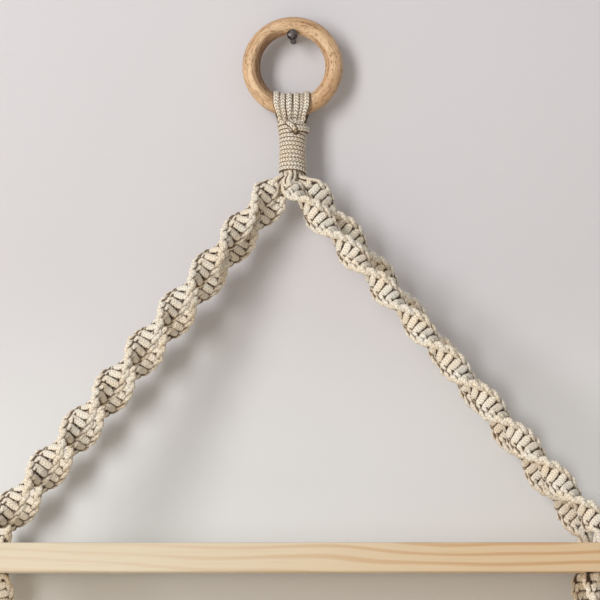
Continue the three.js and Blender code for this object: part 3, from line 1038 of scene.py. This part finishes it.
nail = {
    "shank": 4,
    "head": 7.6,
    "headRise": 0.8,  # how far the head stands off the shank's axis
    "headBack": -23.2,
    "front": -25,
    "inWall": 28,
    "point": 6,
    "steps": 40,
    "domeSteps": 9,
    "domeTurn": (0.12, 0.02),  # what the dome leaves open at its middle and at its rim
    "domePower": 0.8,
    # Behind the head: how far in from its rim, or out from the shank, and how far back.
    "rim": [(0, 0.12), (0.15, 0.3)],
    "neck": [(0.35, 0.35), (0, 0.8)],
    "tip": (0.25, 0.3),
    "darkTone": (46, 42, 42),
    "lightTone": (104, 97, 95),
    "toneScale": 420,
}


def nailMaterial():
    material, nodes = newMaterial("dark steel")
    tone = nodes.noise(nodes.place(), nail["toneScale"], 3, 0.6)
    colour = nodes.layered(nail["darkTone"], (tone.between(0.35, 0.7), nail["lightTone"]))
    nodes.feed(nodes.shader, {"Base Color": colour, "Roughness": 0.34 + tone * 0.2,
                              "Normal": nodes.bump(tone, 0.3, 0.0001), "Metallic": 1})
    return material


def makeNail():
    head, shank, rise = nail["head"] / 2, nail["shank"] / 2, nail["headRise"]
    seat, inWall, steps = nail["headBack"], nail["inWall"], nail["steps"]
    middleOpen, rimOpen = nail["domeTurn"]
    outline = [(head * math.sin(a), seat + (nail["front"] - seat) * math.cos(a) ** nail["domePower"])
               for a in np.linspace(middleOpen, math.pi / 2 - rimOpen, nail["domeSteps"])]
    outline += [(head - inside, seat + behind) for inside, behind in nail["rim"]]
    inHead = len(outline)
    outline += [(shank + outside, seat + behind) for outside, behind in nail["neck"]]
    tipRadius, tipLength = nail["tip"]
    outline += [(shank, inWall - nail["point"]), (tipRadius, inWall - tipLength)]
    points = [(0, nail["front"], rise)]
    for row, (radius, y) in enumerate(outline):
        height = rise if row < inHead else 0
        for k in range(steps):
            angle = fullTurn * k / steps
            points.append((radius * math.cos(angle), y, radius * math.sin(angle) + height))
    points.append((0, inWall, 0))
    faces = []
    last = len(points) - 1
    for k in range(steps):
        following = (k + 1) % steps
        faces.append((0, 1 + k, 1 + following))
        faces.append((last, last - steps + following, last - steps + k))
        for row in range(len(outline) - 1):
            first = 1 + row * steps
            faces.append((first + k, first + steps + k, first + steps + following, first + following))
    meshPiece("round_nail", points, faces, nailMaterial(), "nail", ["wall_nail"])


makeNail()
print("nail made")

# The board keeps its own solid and gets its grain here, in metres.
pine = {
    "paleTone": (218, 206, 183),
    "midTone": (214, 199, 174),
    "sway": (3.2, 14, 14),  # the noise's scale along the board, across it and up
    "warmTone": (210, 178, 136),
    "warmRange": (-0.12, 0.2),  # from left to right
    "warmShare": 0.7,
    # Year rings about a pith that lies below the board and leans along it.
    "pithAcross": -0.078,
    "pithHeight": -0.46,
    "pithLean": 0.03,
    "pithSway": 0.05,
    "yearRing": 0.0062,
    "bandTone": (189, 144, 97),
    "bandRange": (0.1, 0.95),
    "bandShares": (0.16, 0.5),  # everywhere, and more where the board is warm
    "fibreTone": (186, 148, 104),
    "fibres": (26, 1100, 1100),
    "fibreRange": (0.5, 0.8),
    "fibreShare": 0.22,
}


def pineMaterial():
    material, nodes = newMaterial("pine board")
    x, y, z = nodes.parts(nodes.place())
    sway = nodes.noise(nodes.stretched(pine["sway"]), 1)
    fibres = nodes.noise(nodes.stretched(pine["fibres"]), 1, 3, 0.6)
    depth = z - pine["pithHeight"] + x * pine["pithLean"] + (sway - 0.5) * pine["pithSway"]
    across = y - pine["pithAcross"]
    radius = (depth * depth + across * across) ** 0.5
    late = (radius * (fullTurn / pine["yearRing"])).sine().between(*pine["bandRange"])
    warm = x.between(*pine["warmRange"])
    bandShare, warmBands = pine["bandShares"]
    colour = nodes.layered(
        pine["paleTone"], (sway.between(0.3, 0.7), pine["midTone"]),
        (warm * pine["warmShare"], pine["warmTone"]),
        (late * (bandShare + warm * warmBands), pine["bandTone"]),
        (fibres.between(*pine["fibreRange"]) * pine["fibreShare"], pine["fibreTone"]))
    nodes.feed(nodes.shader, {
        "Base Color": colour, "Normal": nodes.bump(fibres + late * 0.3, 0.25, 0.00015),
        "Roughness": 0.6 - late * 0.08, "Specular IOR Level": 0.3})
    return material


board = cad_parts["shelf_board"]
board.data.materials.clear()
board.data.materials.append(pineMaterial())
print("board finished")

# The wall, the floor and the light, in metres.
room = {
    "halfWidth": 1.6,
    "top": 1.1,
    "floor": -0.95,
    "front": -2.6,
    "behind": 2,
    "wallTone": (212, 210, 214),
    "wallCloud": (207, 205, 209),
    "wallCloudShare": 0.5,
    "wallPaintedLight": (223, 224, 225),  # painted light, lighter towards the board
    "wallRange": (-0.33, -0.14),
    "cloudScale": 2.2,
    "gritScale": 500,
    "floorTone": (228, 213, 190),
    "floorCloud": (218, 202, 178),
    "floorCloudShare": 0.3,
    "floorCloudScale": 3,
    "lampPower": 44,
    "lampWidth": 0.75,
    "lampHeight": 1.8,
    "lampPlace": (-1.25, -2.05, 0.28),
    "lampAim": (0, -0.06, -0.2),
    "lampColour": (1, 0.99, 0.975),
    "sky": 0.4,
    "skyColour": (1, 0.995, 0.985, 1),
    "backdropTone": (226, 223, 219),
}


def wallMaterial():
    material, nodes = newMaterial("plain plaster")
    place = nodes.place()
    height = nodes.parts(place)[2]
    cloud = nodes.noise(place, room["cloudScale"], 3).between(0.3, 0.7)
    grit = nodes.noise(place, room["gritScale"], 3, 0.6)
    # Painted light: the plaster grows lighter below the height range, towards the board.
    colour = nodes.layered(room["wallTone"], (cloud * room["wallCloudShare"], room["wallCloud"]),
                           (1 - height.between(*room["wallRange"]), room["wallPaintedLight"]))
    nodes.feed(nodes.shader, {"Base Color": colour, "Normal": nodes.bump(grit, 0.12, 0.0005),
                              "Roughness": 0.95, "Specular IOR Level": 0.1})
    # Seen from behind, the wall is clear, so that the shelf's rear shows.
    both = nodes.add("ShaderNodeMixShader", None,
                     {0: nodes.add("ShaderNodeNewGeometry", output="Backfacing"),
                      1: Signal(nodes, nodes.shader.outputs[0]),
                      2: nodes.add("ShaderNodeBsdfTransparent")})
    nodes.feed(material.node_tree.nodes["Material Output"], {"Surface": both})
    return material


def floorMaterial():
    material, nodes = newMaterial("plain floor")
    cloud = nodes.noise(nodes.place(), room["floorCloudScale"])
    colour = nodes.layered(room["floorTone"], (cloud * room["floorCloudShare"], room["floorCloud"]))
    nodes.feed(nodes.shader, {"Base Color": colour, "Roughness": 0.9})
    return material


def makeRoom():
    x, top, floor = room["halfWidth"], room["top"], room["floor"]
    front, behind = room["front"], room["behind"]
    wall = [(-x, 0, floor), (x, 0, floor), (x, 0, top), (-x, 0, top)]
    ground = [(-x, front, floor), (x, front, floor), (x, behind, floor), (-x, behind, floor)]
    for name, outline, material in (("wall", wall, wallMaterial()),
                                    ("floor", ground, floorMaterial())):
        meshObject(name, outline, [(0, 1, 2, 3)], material)


def hangLamp():
    lamp = bpy.data.lights.new("key", "AREA")
    lamp.shape = "RECTANGLE"
    lamp.energy = room["lampPower"]
    lamp.size = room["lampWidth"]
    lamp.size_y = room["lampHeight"]
    lamp.color = room["lampColour"]
    key = linked("key", lamp)
    key.location = room["lampPlace"]
    key.rotation_euler = (key.location - Vector(room["lampAim"])).to_track_quat("Z", "Y").to_euler()
    key.visible_camera = False


def paintSky():  # dim on the shelf, and plain where it is looked at
    world = bpy.data.worlds.new("studio")
    bpy.context.scene.world = world
    world.use_nodes = True
    nodes = NodeTree(world.node_tree)
    path = nodes.node("ShaderNodeLightPath")
    straight, glossy, through = (Signal(nodes, path.outputs[f"Is {ray} Ray"])
                                 for ray in ("Camera", "Glossy", "Transmission"))
    seen = straight.maths("MAXIMUM", straight, straight.maths("MAXIMUM", glossy, through))
    colour = nodes.mixColour(seen, room["skyColour"], shade(*room["backdropTone"]))
    nodes.feed(world.node_tree.nodes["Background"],
               {"Color": colour, "Strength": room["sky"] + seen * (1 - room["sky"])})


makeRoom()
hangLamp()
paintSky()
print("room and light set")
